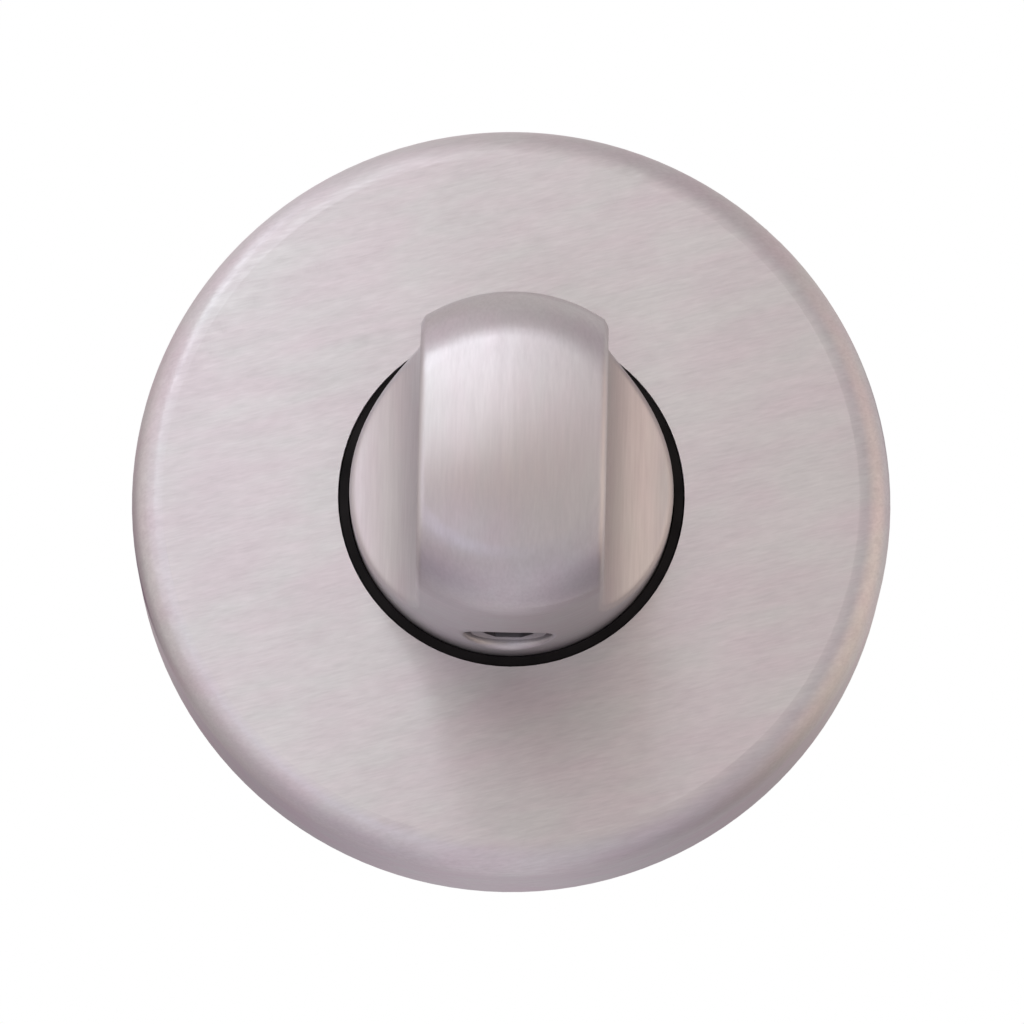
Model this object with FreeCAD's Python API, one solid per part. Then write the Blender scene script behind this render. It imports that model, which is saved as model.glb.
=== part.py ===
import FreeCAD, Part
import os
from collections import namedtuple
from math import asin, atan2, cos, pi, radians, sin, sqrt, tan

# Bathroom thumb turn on a round rose, as fixed to the inside face of a door.
# Each piece is drawn standing on the door face, with its axis along +Z and heights counted
# in millimetres out of the door. The finished pieces are then laid over together, so that
# the door face is the plane y = 0, the knob points along -Y and +Z is up.

# Rose cover: a pressed stainless cap
rose_diameter = 52.0
rose_height = 9.0
cover_wall = 1.2
cover_shoulder_radius = 2.2
cover_hole_clearance = 0.1
cover_inner_chamfer = 0.6

# Thumb turn: a turned knob with a finger cove milled down each side
knob_diameter = 22.1
knob_flank_height = 14.2
knob_edge_radius = 5.0
knob_dome_radius = 32.0
knob_sink = 3.0
knob_base_break = 0.3
rib_width = 12.5
cove_radius = 7.0
cove_centre_height = 8.5
cove_edge_chamfer = 0.3
stem_diameter = 14.0
stem_end_chamfer = 0.4
stem_land = 1.0
socket_depth = 11.0

# Bearing bush: black nylon, its thin lip shows round the knob
bush_bore_clearance = 0.08
bush_lip_clearance = 0.1
bush_lip_wall = 0.6
bush_lip_recess = 0.2
bush_collar_wall = 2.0
bush_collar_gap = 0.2
bush_floor = 1.0
bush_sleeve_wall = 1.6
bush_seat_clearance = 0.05
bush_tail = 0.2
knob_end_float = 0.2

# Mounting plate: a zinc casting that the door screws hold
plate_edge_gap = 0.4
plate_floor = 2.0
plate_rim_wall = 1.6
plate_rim_gap = 1.6
hub_web = 1.6
hub_wall = 2.3
hub_recess_gap = 0.45
rib_count = 8
rib_thickness = 1.4
rib_rise = 2.2
boss_radius = 5.2
boss_height = 2.4
spigot_radius = 3.8
spigot_length = 6.0
spigot_chamfer = 0.5

# Fixings through the plate
bolt_edge_distance = 7.0
bolt_hole_radius = 2.2
bolt_thread_radius = 2.0
bolt_shank_radius = 1.75
bolt_shank_length = 14.0
bolt_length = 50.0
bolt_head_radius = 4.0
bolt_head_height = 2.3
bolt_head_chamfer = 0.6
bolt_head_clearance = 0.3
bolt_tip_chamfer = 0.5
cross_recess_length = 4.4
cross_recess_width = 1.1
cross_recess_depth = 1.5
wood_screw_edge_distance = 7.0
wood_screw_hole_radius = 2.15
countersink_radius = 4.2

# Spring clips that grip the cover
clip_count = 4
clip_strip = 0.4
clip_width = 6.0
clip_gap = 0.1
clip_bend_radius = 0.4
clip_leg_gap = 1.2
clip_notch_depth = 0.9
clip_notch_floor = 0.8
clip_notch_side_gap = 0.4
clip_foot_height = 1.0
clip_bow_rise = 1.4

# Washers and circlip behind the plate
stem_washer_clearance = 0.25
thrust_washer_thickness = 0.5
thrust_washer_width = 3.2
wave_washer_thickness = 0.3
wave_washer_height = 0.85
wave_washer_width = 2.2
washer_float = 0.05
circlip_thickness = 1.0
circlip_groove_depth = 0.3
circlip_groove_play = 0.05
circlip_width = 2.1
circlip_offset = 0.3
circlip_opening_angle = 26.0
circlip_lug_radius = 1.75
circlip_lug_hole_radius = 0.85
circlip_lug_trim = 0.2

# Spindle, its sleeve and the grub screw that clamps it
spindle_width = 5.0
spindle_clearance = 0.05
spindle_length = 70.0
spindle_end_gap = 0.5
spindle_chamfer = 0.4
sleeve_width = 8.0
sleeve_length = 20.0
sleeve_middle = 22.0
sleeve_slit = 1.0
sleeve_corner = 0.6
grub_screw_radius = 3.0
grub_screw_recess = 0.55
grub_screw_height = 5.4
grub_thread_clearance = 0.05
grub_chamfer = 0.5
grub_cup_radius = 1.6
grub_cup_depth = 0.5
grub_hex_across_flats = 3.0
grub_hex_depth = 3.5
grub_mouth_break = 0.25

# Radii worked out from the sizes above
rose_radius = rose_diameter / 2
cover_inner_radius = rose_radius - cover_wall
knob_radius = knob_diameter / 2
lip_inner_radius = knob_radius + bush_lip_clearance
lip_outer_radius = lip_inner_radius + bush_lip_wall
cover_hole_radius = lip_outer_radius + cover_hole_clearance
stem_radius = stem_diameter / 2
bush_bore_radius = stem_radius + bush_bore_clearance
bush_sleeve_radius = bush_bore_radius + bush_sleeve_wall
bush_collar_radius = lip_inner_radius + bush_collar_wall
hub_bore_radius = bush_sleeve_radius + bush_seat_clearance
washer_inner_radius = stem_radius + stem_washer_clearance
thrust_washer_radius = washer_inner_radius + thrust_washer_width
hub_recess_radius = thrust_washer_radius + hub_recess_gap
hub_outer_radius = hub_recess_radius + hub_wall
plate_radius = cover_inner_radius - plate_edge_gap
plate_rim_inner_radius = plate_radius - plate_rim_wall
clip_notch_radius = plate_radius - clip_notch_depth
groove_floor_radius = stem_radius - circlip_groove_depth
bolt_spacing = rose_diameter - 2 * bolt_edge_distance
wood_screw_spacing = rose_diameter - 2 * wood_screw_edge_distance
grub_screw_length = knob_radius - grub_screw_recess - spindle_width / 2

# Heights above the door face, from the front of the rose down to the end of the stem
cover_ceiling = rose_height - cover_wall
knob_base = rose_height - knob_sink
bush_floor_top = knob_base - knob_end_float
hub_top = bush_floor_top - bush_floor
hub_underside = hub_top - hub_web
bush_end = hub_underside - bush_tail
thrust_washer_back = bush_end - thrust_washer_thickness
wave_crest = thrust_washer_back - washer_float
circlip_front = wave_crest - wave_washer_height - washer_float
circlip_back = circlip_front - circlip_thickness
stem_end = circlip_back - circlip_groove_play - stem_land
plate_rim_top = cover_ceiling - plate_rim_gap
clip_bow_level = (clip_foot_height + plate_rim_top) / 2
spindle_front = rose_height + socket_depth - spindle_end_gap
grub_screw_level = rose_height + grub_screw_height


# Corner of an outline: its place, and how far a rounding or a chamfer cuts it back
Corner = namedtuple("Corner", "x z radius chamfer")


def sharp(x, z):
    """Corner that keeps its edge."""
    return Corner(x, z, 0.0, 0.0)


def rounded(x, z, radius):
    """Corner with a tangent arc of this radius."""
    return Corner(x, z, radius, 0.0)


def chamfered(x, z, chamfer):
    """Corner cut off by this length along both of its sides."""
    return Corner(x, z, 0.0, chamfer)


def point(x, z):
    """Point of an outline, which is drawn in the plane y = 0."""
    return FreeCAD.Vector(x, 0, z)


def corner_edge(before, corner, after):
    """Start, end and edge of one corner between its neighbours, with no edge where it is sharp."""
    place = point(corner.x, corner.z)
    if corner.radius == 0 and corner.chamfer == 0:
        return place, place, None
    back = point(before.x, before.z) - place
    ahead = point(after.x, after.z) - place
    back.normalize()
    ahead.normalize()
    if corner.chamfer > 0:
        start = place + back * corner.chamfer
        end = place + ahead * corner.chamfer
        return start, end, Part.LineSegment(start, end).toShape()
    half_angle = back.getAngle(ahead) / 2
    inward = back + ahead
    inward.normalize()
    start = place + back * (corner.radius * cos(half_angle) / sin(half_angle))
    end = place + ahead * (corner.radius * cos(half_angle) / sin(half_angle))
    middle = place + inward * (corner.radius / sin(half_angle) - corner.radius)
    return start, end, Part.Arc(start, middle, end).toShape()


def outline_edges(corners, closed):
    """Edges through the corners of an outline, or of an open line whose two ends are sharp."""
    count = len(corners)
    pieces = []
    for index, corner in enumerate(corners):
        pieces.append(corner_edge(corners[index - 1], corner, corners[(index + 1) % count]))
    edges = []
    for index, (start, end, edge) in enumerate(pieces):
        if edge is not None:
            edges.append(edge)
        following = (index + 1) % count
        if following > 0 or closed:
            edges.append(Part.LineSegment(end, pieces[following][0]).toShape())
    return edges


def turned(corners):
    """Solid of revolution about the Z axis from the corners of its half section."""
    wire = Part.Wire(outline_edges(corners, closed=True))
    return Part.Face(wire).revolve(FreeCAD.Vector(0, 0, 0), FreeCAD.Vector(0, 0, 1), 360)


def upright_cylinder(radius, low, high, x=0.0, y=0.0):
    """Cylinder along Z between two heights."""
    return Part.makeCylinder(radius, high - low, FreeCAD.Vector(x, y, low))


def upright_ring(inner_radius, outer_radius, low, high):
    """Plain flat ring between two heights."""
    return upright_cylinder(outer_radius, low, high).cut(upright_cylinder(inner_radius, low, high))


def centred_block(width, depth, low, high):
    """Block about the Z axis between two heights."""
    corner = FreeCAD.Vector(-width / 2, -depth / 2, low)
    return Part.makeBox(width, depth, high - low, corner)


def turned_about_axis(shape, angle):
    """Copy of a shape, swung round the Z axis by an angle in degrees."""
    copy = shape.copy()
    copy.rotate(FreeCAD.Vector(0, 0, 0), FreeCAD.Vector(0, 0, 1), angle)
    return copy


def rose_cover():
    """Pressed cap: flat face with a round hole, rounded shoulder and straight wall."""
    return turned([
        sharp(rose_radius, 0),
        rounded(rose_radius, rose_height, cover_shoulder_radius),
        sharp(cover_hole_radius, rose_height),
        sharp(cover_hole_radius, cover_ceiling),
        chamfered(cover_inner_radius, cover_ceiling, cover_inner_chamfer),
        sharp(cover_inner_radius, 0),
    ])


def plate_rib(angle):
    """Stiffening rib that runs from the hub to the rim of the plate."""
    start = hub_outer_radius - hub_wall / 2
    length = plate_rim_inner_radius + plate_rim_wall / 2 - start
    corner = FreeCAD.Vector(start, -rib_thickness / 2, plate_floor / 2)
    rib = Part.makeBox(length, rib_thickness, plate_floor / 2 + rib_rise, corner)
    return turned_about_axis(rib, angle)


def clip_notch(angle):
    """Flat cut into the outside of the rim, where a spring clip hangs."""
    width = clip_width + 2 * clip_notch_side_gap
    depth = clip_notch_depth + plate_edge_gap
    corner = FreeCAD.Vector(clip_notch_radius, -width / 2, clip_notch_floor)
    notch = Part.makeBox(depth, width, plate_rim_top, corner)
    return turned_about_axis(notch, angle)


def clip_angles():
    """Angles of the clips, midway between the screws."""
    return [360.0 / clip_count * (index + 0.5) for index in range(clip_count)]


def mounting_plate():
    """Dished casting with a hub for the bush, ribs, screw bosses and two spigots at the back."""
    plate = turned([
        sharp(hub_bore_radius, hub_underside),
        sharp(hub_recess_radius, hub_underside),
        sharp(hub_recess_radius, 0),
        sharp(plate_radius, 0),
        sharp(plate_radius, plate_rim_top),
        sharp(plate_rim_inner_radius, plate_rim_top),
        sharp(plate_rim_inner_radius, plate_floor),
        sharp(hub_outer_radius, plate_floor),
        sharp(hub_outer_radius, hub_top),
        sharp(hub_bore_radius, hub_top),
    ])
    rib_step = 360.0 / rib_count
    additions = [plate_rib(rib_step * (index + 0.5)) for index in range(rib_count)]
    cuts = [clip_notch(angle) for angle in clip_angles()]
    for side in (-1, 1):
        bolt_x = side * bolt_spacing / 2
        screw_y = side * wood_screw_spacing / 2
        additions.append(upright_cylinder(boss_radius, 0, boss_height, x=bolt_x))
        additions.append(upright_cylinder(boss_radius, 0, boss_height, y=screw_y))
        spigot = upright_cylinder(spigot_radius, -spigot_length, 0, x=bolt_x)
        back_edge = min(spigot.Edges, key=lambda edge: edge.BoundBox.ZMax)
        additions.append(spigot.makeChamfer(spigot_chamfer, [back_edge]))
        cuts.append(upright_cylinder(bolt_hole_radius, -spigot_length, boss_height, x=bolt_x))
        head_room = bolt_head_radius + bolt_head_clearance
        cuts.append(upright_cylinder(head_room, boss_height, plate_rim_top, x=bolt_x))
        cuts.append(upright_cylinder(wood_screw_hole_radius, 0, boss_height, y=screw_y))
        sink_depth = countersink_radius - wood_screw_hole_radius
        cuts.append(Part.makeCone(wood_screw_hole_radius, countersink_radius, sink_depth,
                                  FreeCAD.Vector(0, screw_y, boss_height - sink_depth)))
    front = upright_cylinder(plate_radius, 0, plate_rim_top)
    recess = upright_cylinder(hub_recess_radius, 0, hub_underside)
    front = front.cut(recess)
    behind = upright_cylinder(rose_radius, -spigot_length, 0)
    envelope = front.fuse(behind)
    plate = plate.fuse(additions).common(envelope)
    return plate.cut(cuts).removeSplitter()


def bearing_bush():
    """Stepped nylon bush: sleeve for the stem, floor under the knob and a lip around it."""
    return turned([
        sharp(bush_bore_radius, bush_end),
        sharp(bush_sleeve_radius, bush_end),
        sharp(bush_sleeve_radius, hub_top),
        sharp(bush_collar_radius, hub_top),
        sharp(bush_collar_radius, cover_ceiling - bush_collar_gap),
        sharp(lip_outer_radius, cover_ceiling - bush_collar_gap),
        sharp(lip_outer_radius, rose_height - bush_lip_recess),
        sharp(lip_inner_radius, rose_height - bush_lip_recess),
        sharp(lip_inner_radius, bush_floor_top),
        sharp(bush_bore_radius, bush_floor_top),
    ])


def knob_blank():
    """Turned blank: grooved stem, straight flank, rounded edge and a slightly domed front.

    The dome is a cap of a ball that meets the rounded edge at a tangent.
    """
    flank_top = rose_height + knob_flank_height
    edge_centre = point(knob_radius - knob_edge_radius, flank_top)
    drop = sqrt((knob_dome_radius - knob_edge_radius) ** 2 - edge_centre.x ** 2)
    dome_centre = point(0, flank_top - drop)
    outward = edge_centre - dome_centre
    outward.normalize()
    dome_edge = dome_centre + outward * knob_dome_radius
    edge_lean = (pi / 2 + atan2(outward.x, outward.z)) / 2
    edge_middle = edge_centre + point(sin(edge_lean), cos(edge_lean)) * knob_edge_radius
    flank_end = point(knob_radius, flank_top)
    groove_low = circlip_back - circlip_groove_play
    groove_high = circlip_front + circlip_groove_play
    lower = outline_edges([
        sharp(0, stem_end),
        chamfered(stem_radius, stem_end, stem_end_chamfer),
        sharp(stem_radius, groove_low),
        sharp(groove_floor_radius, groove_low),
        sharp(groove_floor_radius, groove_high),
        sharp(stem_radius, groove_high),
        sharp(stem_radius, knob_base),
        chamfered(knob_radius, knob_base, knob_base_break),
        sharp(knob_radius, flank_top),
    ], closed=False)
    front = [
        Part.Arc(flank_end, edge_middle, dome_edge).toShape(),
        Part.LineSegment(dome_edge, point(0, dome_edge.z)).toShape(),
        Part.LineSegment(point(0, dome_edge.z), point(0, stem_end)).toShape(),
    ]
    face = Part.Face(Part.Wire(lower + front))
    blank = face.revolve(FreeCAD.Vector(0, 0, 0), FreeCAD.Vector(0, 0, 1), 360)
    ball = Part.makeSphere(knob_dome_radius, dome_centre, FreeCAD.Vector(0, 1, 0))
    cap = ball.common(upright_cylinder(knob_radius, dome_edge.z, flank_top + knob_radius))
    return blank.fuse(cap)


def cove_cutter():
    """Milled cove on the +X side: flat rib wall that runs into a quarter round below."""
    wall = rib_width / 2
    centre = point(wall + cove_radius, rose_height + cove_centre_height)
    top = rose_height + knob_flank_height + knob_radius
    arc_middle = centre - point(cos(pi / 4), sin(pi / 4)) * cove_radius
    arc_end = centre - point(0, cove_radius)
    outside = centre.x + knob_radius
    outline = [
        Part.LineSegment(point(wall, top), point(wall, centre.z)).toShape(),
        Part.Arc(point(wall, centre.z), arc_middle, arc_end).toShape(),
        Part.LineSegment(arc_end, point(outside, arc_end.z)).toShape(),
        Part.LineSegment(point(outside, arc_end.z), point(outside, top)).toShape(),
        Part.LineSegment(point(outside, top), point(wall, top)).toShape(),
    ]
    face = Part.Face(Part.Wire(outline))
    face.translate(FreeCAD.Vector(0, -knob_diameter, 0))
    return face.extrude(FreeCAD.Vector(0, 2 * knob_diameter, 0))


def is_milled(face):
    """True for a rib wall or a cove, which the cutter leaves, and not for a turned face."""
    surface = face.Surface
    if isinstance(surface, Part.Plane):
        return abs(surface.Axis.x) > 0.999
    if isinstance(surface, Part.Cylinder):
        return abs(surface.Axis.y) > 0.999
    return False


def cove_rim_edges(knob):
    """Edges where a milled face breaks out through a turned one."""
    found = []
    for edge in knob.Edges:
        sides = [is_milled(face) for face in knob.ancestorsOfType(edge, Part.Face)]
        if sides.count(True) == 1 and sides.count(False) == 1:
            found.append(edge)
    return found


def thumb_turn():
    """Knob and stem in one piece, with both coves, the spindle socket and the grub screw hole."""
    knob = knob_blank()
    cove = cove_cutter()
    knob = knob.cut([cove, turned_about_axis(cove, 180)])
    knob = knob.makeChamfer(cove_edge_chamfer, cove_rim_edges(knob))
    socket_width = spindle_width + 2 * spindle_clearance
    socket = centred_block(socket_width, socket_width, stem_end, rose_height + socket_depth)
    hole_radius = grub_screw_radius + grub_thread_clearance
    down = FreeCAD.Vector(0, -1, 0)
    hole_start = FreeCAD.Vector(0, 0, grub_screw_level)
    hole = Part.makeCylinder(hole_radius, knob_radius, hole_start, down)
    mouth_start = FreeCAD.Vector(0, grub_mouth_break - knob_radius, grub_screw_level)
    mouth = Part.makeCone(hole_radius, hole_radius + 2 * grub_mouth_break,
                          2 * grub_mouth_break, mouth_start, down)
    return knob.cut([socket, hole, mouth])


def hex_prism(across_flats, height):
    """Hexagonal prism that stands on the plane z = 0."""
    corner_radius = across_flats / 2 / cos(pi / 6)
    corners = []
    for step in range(7):
        angle = radians(60 * step)
        corners.append(FreeCAD.Vector(corner_radius * cos(angle), corner_radius * sin(angle), 0))
    return Part.Face(Part.makePolygon(corners)).extrude(FreeCAD.Vector(0, 0, height))


def grub_screw():
    """Cup point grub screw with a hexagon socket, its point on the flat of the spindle."""
    body = turned([
        sharp(0, grub_cup_depth),
        sharp(grub_cup_radius, 0),
        chamfered(grub_screw_radius, 0, grub_chamfer),
        chamfered(grub_screw_radius, grub_screw_length, grub_chamfer),
        sharp(0, grub_screw_length),
    ])
    socket = hex_prism(grub_hex_across_flats, grub_hex_depth)
    socket.translate(FreeCAD.Vector(0, 0, grub_screw_length - grub_hex_depth))
    screw = body.cut(socket)
    screw.translate(FreeCAD.Vector(0, 0, spindle_width / 2))
    screw.rotate(FreeCAD.Vector(0, 0, 0), FreeCAD.Vector(1, 0, 0), 90)
    screw.translate(FreeCAD.Vector(0, 0, grub_screw_level))
    return screw


def spindle():
    """Square bar from the knob through the door, with its edges broken."""
    bar = centred_block(spindle_width, spindle_width, spindle_front - spindle_length, spindle_front)
    return bar.makeChamfer(spindle_chamfer, bar.Edges)


def spindle_sleeve():
    """Split square sleeve that fills the wider square of the lock's follower."""
    low = -sleeve_middle - sleeve_length / 2
    high = -sleeve_middle + sleeve_length / 2
    sleeve = centred_block(sleeve_width, sleeve_width, low, high)
    long_edges = [edge for edge in sleeve.Edges if edge.BoundBox.ZLength > sleeve_length / 2]
    sleeve = sleeve.makeChamfer(sleeve_corner, long_edges)
    bore_width = spindle_width + 2 * spindle_clearance
    bore = centred_block(bore_width, bore_width, low, high)
    slit = Part.makeBox(sleeve_slit, sleeve_width, sleeve_length,
                        FreeCAD.Vector(-sleeve_slit / 2, 0, low))
    return sleeve.cut([bore, slit])


def thrust_washer():
    """Flat washer against the end of the bush."""
    return upright_ring(washer_inner_radius, thrust_washer_radius, thrust_washer_back, bush_end)


def wave_washer():
    """Spring washer that takes up the play: a flat ring bent to one shallow wave."""
    outer_radius = washer_inner_radius + wave_washer_width
    rise = wave_washer_height - wave_washer_thickness
    bend_radius = (outer_radius ** 2 + rise ** 2) / (2 * rise)
    start = FreeCAD.Vector(0, -outer_radius, wave_crest - wave_washer_thickness - bend_radius)
    along = FreeCAD.Vector(0, 1, 0)
    under = Part.makeCylinder(bend_radius, 2 * outer_radius, start, along)
    over = Part.makeCylinder(bend_radius + wave_washer_thickness, 2 * outer_radius, start, along)
    trough = wave_crest - wave_washer_height
    ring = upright_ring(washer_inner_radius, outer_radius, trough, wave_crest)
    return ring.common(over.cut(under))


def circlip():
    """External retaining ring in the groove of the stem, wider opposite its opening."""
    outer_radius = groove_floor_radius + circlip_width
    body = upright_cylinder(outer_radius, circlip_back, circlip_front, y=-circlip_offset)
    half_opening = circlip_opening_angle / 2
    lug_distance = outer_radius - circlip_offset
    lugs, holes = [], []
    lug_lean = asin((circlip_lug_radius - circlip_lug_trim) / lug_distance)
    for side in (-1, 1):
        angle = pi / 2 + side * (radians(half_opening) + lug_lean)
        x = lug_distance * cos(angle)
        y = lug_distance * sin(angle)
        lugs.append(upright_cylinder(circlip_lug_radius, circlip_back, circlip_front, x=x, y=y))
        holes.append(upright_cylinder(circlip_lug_hole_radius, circlip_back, circlip_front, x=x, y=y))
    bore = upright_cylinder(groove_floor_radius, circlip_back, circlip_front)
    reach = 2 * outer_radius
    wedge_half_width = reach * tan(radians(half_opening))
    opening_corners = [
        FreeCAD.Vector(0, 0, circlip_back),
        FreeCAD.Vector(wedge_half_width, reach, circlip_back),
        FreeCAD.Vector(-wedge_half_width, reach, circlip_back),
        FreeCAD.Vector(0, 0, circlip_back),
    ]
    opening = Part.Face(Part.makePolygon(opening_corners))
    opening = opening.extrude(FreeCAD.Vector(0, 0, circlip_thickness))
    return body.fuse(lugs).cut(holes + [bore, opening]).removeSplitter()


def clip_strip_path():
    """Middle line of a clip: up inside the rim, over it and down outside with a bow."""
    half_width = clip_width / 2
    stand_off = clip_gap + clip_strip / 2
    inner_x = sqrt(plate_rim_inner_radius ** 2 - half_width ** 2) - stand_off
    outer_x = clip_notch_radius + stand_off
    crest_x = sqrt(cover_inner_radius ** 2 - half_width ** 2) - stand_off
    top = plate_rim_top + stand_off
    return outline_edges([
        sharp(inner_x, plate_floor + clip_leg_gap),
        rounded(inner_x, top, clip_bend_radius),
        rounded(outer_x, top, clip_bend_radius),
        rounded(outer_x, clip_bow_level + clip_bow_rise, clip_bend_radius),
        rounded(crest_x, clip_bow_level, clip_bend_radius),
        rounded(outer_x, clip_bow_level - clip_bow_rise, clip_bend_radius),
        sharp(outer_x, clip_foot_height),
    ], closed=False)


def cover_clip():
    """Spring steel clip, swept along its middle line on the +X side of the plate."""
    path = Part.Wire(clip_strip_path())
    start = path.Vertexes[0].Point
    corner = FreeCAD.Vector(start.x - clip_strip / 2, -clip_width / 2, start.z)
    section = Part.makePlane(clip_strip, clip_width, corner)
    return path.makePipeShell([section.OuterWire], True, False)


def cross_recess(top):
    """Cross recess for a driver: two crossed wedges that narrow towards the floor."""
    half_long = cross_recess_length / 2
    half_short = cross_recess_width / 2
    arm = Part.Face(Part.makePolygon([
        point(-half_long, top),
        point(half_long, top),
        point(half_short, top - cross_recess_depth),
        point(-half_short, top - cross_recess_depth),
        point(-half_long, top),
    ]))
    arm.translate(FreeCAD.Vector(0, -half_short, 0))
    wedge = arm.extrude(FreeCAD.Vector(0, cross_recess_width, 0))
    return wedge.fuse(turned_about_axis(wedge, 90))


def through_bolt():
    """Pan head machine screw: cross recess, plain neck and a thicker threaded end."""
    head_top = boss_height + bolt_head_height
    neck_end = boss_height - bolt_shank_length
    tip = boss_height - bolt_length
    bolt = turned([
        sharp(0, head_top),
        chamfered(bolt_head_radius, head_top, bolt_head_chamfer),
        sharp(bolt_head_radius, boss_height),
        sharp(bolt_shank_radius, boss_height),
        sharp(bolt_shank_radius, neck_end),
        sharp(bolt_thread_radius, neck_end),
        chamfered(bolt_thread_radius, tip, bolt_tip_chamfer),
        sharp(0, tip),
    ])
    return bolt.cut(cross_recess(head_top))


def through_bolts():
    """The two identical bolts, one on each side of the knob."""
    bolts = []
    for side in (-1, 1):
        bolt = through_bolt()
        bolt.translate(FreeCAD.Vector(side * bolt_spacing / 2, 0, 0))
        bolts.append(bolt)
    return Part.makeCompound(bolts)


def save(name, shape):
    """Lays a finished piece over into the door's frame and writes it to its own file."""
    shape.rotate(FreeCAD.Vector(0, 0, 0), FreeCAD.Vector(1, 0, 0), 90)
    shape.exportStep("parts/" + name + ".step")
    print(name, "solids", len(shape.Solids), "valid", shape.isValid(), "volume", round(shape.Volume, 1))


os.makedirs("parts", exist_ok=True)
save("rose_cover", rose_cover())
save("mounting_plate", mounting_plate())
save("bearing_bush", bearing_bush())
save("thumb_turn", thumb_turn())
save("grub_screw", grub_screw())
save("spindle", spindle())
save("spindle_sleeve", spindle_sleeve())
save("thrust_washer", thrust_washer())
save("wave_washer", wave_washer())
save("circlip", circlip())
save("through_bolts", through_bolts())
for number, clip_angle in enumerate(clip_angles(), start=1):
    save("cover_clip_" + str(number), turned_about_axis(cover_clip(), clip_angle))
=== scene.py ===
"""Looks of a bathroom thumb turn on a round rose, dressed around its construction model."""

import logging
import math
from contextlib import contextmanager
from dataclasses import dataclass
from enum import Enum
from typing import Callable, Iterator, Optional, Union

import bmesh
import bpy
from mathutils import Matrix, Vector


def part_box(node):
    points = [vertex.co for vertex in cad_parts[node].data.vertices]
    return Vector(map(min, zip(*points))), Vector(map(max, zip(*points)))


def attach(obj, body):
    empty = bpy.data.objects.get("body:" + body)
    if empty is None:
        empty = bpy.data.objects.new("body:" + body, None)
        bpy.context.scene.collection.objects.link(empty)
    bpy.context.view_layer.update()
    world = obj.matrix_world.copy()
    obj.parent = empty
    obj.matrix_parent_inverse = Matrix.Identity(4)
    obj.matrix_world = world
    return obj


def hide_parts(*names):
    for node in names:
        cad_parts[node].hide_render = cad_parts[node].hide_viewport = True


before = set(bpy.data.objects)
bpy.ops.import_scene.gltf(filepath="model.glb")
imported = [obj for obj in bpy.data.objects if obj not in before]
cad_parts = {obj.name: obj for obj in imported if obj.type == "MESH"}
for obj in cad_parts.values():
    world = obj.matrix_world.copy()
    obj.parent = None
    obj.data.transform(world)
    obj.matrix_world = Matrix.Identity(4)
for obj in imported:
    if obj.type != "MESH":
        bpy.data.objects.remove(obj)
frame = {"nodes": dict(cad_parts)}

Colour = tuple[float, float, float, float]
Triple = tuple[float, float, float]
Socket = bpy.types.NodeSocket
Feed = Union[float, Triple, Colour, Socket]

WHITE: Colour = (1.0, 1.0, 1.0, 1.0)
NOTHING: Triple = (0.0, 0.0, 0.0)
TURN_AXIS: Triple = (0.0, 1.0, 0.0)
OFF_THE_AXIS: Triple = (1.0, 0.0, 1.0)

log = logging.getLogger("thumb_turn")


class Part(str, Enum):
    """The pieces of the construction model that are dressed here."""

    COVER = "rose_cover"
    PLATE = "mounting_plate"
    BUSH = "bearing_bush"
    THRUST_WASHER = "thrust_washer"
    CLIP_1 = "cover_clip_1"
    CLIP_2 = "cover_clip_2"
    CLIP_3 = "cover_clip_3"
    CLIP_4 = "cover_clip_4"
    BOLTS = "through_bolts"
    TURN = "thumb_turn"
    GRUB_SCREW = "grub_screw"
    SPINDLE = "spindle"
    SLEEVE = "spindle_sleeve"
    WAVE_WASHER = "wave_washer"
    CIRCLIP = "circlip"


class GrainWay(Enum):
    """How the fine lines of a finish run over a piece."""

    STRAIGHT = "straight"
    TURNED_FLANK = "straight on the front, round the axis on the flank"


class Cut(Enum):
    """What a cutting tool does to a piece."""

    AWAY = "DIFFERENCE"
    TO_SHAPE = "INTERSECT"


class Side(Enum):
    """The side of a piece that faces are picked from, as its way along Y."""

    FRONT = -1.0
    BACK = 1.0


class SocketKind(Enum):
    """Kinds of socket that the shared effects have."""

    NUMBER = "NodeSocketFloat"
    VECTOR = "NodeSocketVector"


class MixKind(Enum):
    """What a Mix node mixes: its data type and the places of both inputs and of the output."""

    VALUE = ("FLOAT", 2, 3, 0)
    VECTOR = ("VECTOR", 4, 5, 1)
    COLOUR = ("RGBA", 6, 7, 2)


# Node sheets


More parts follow.
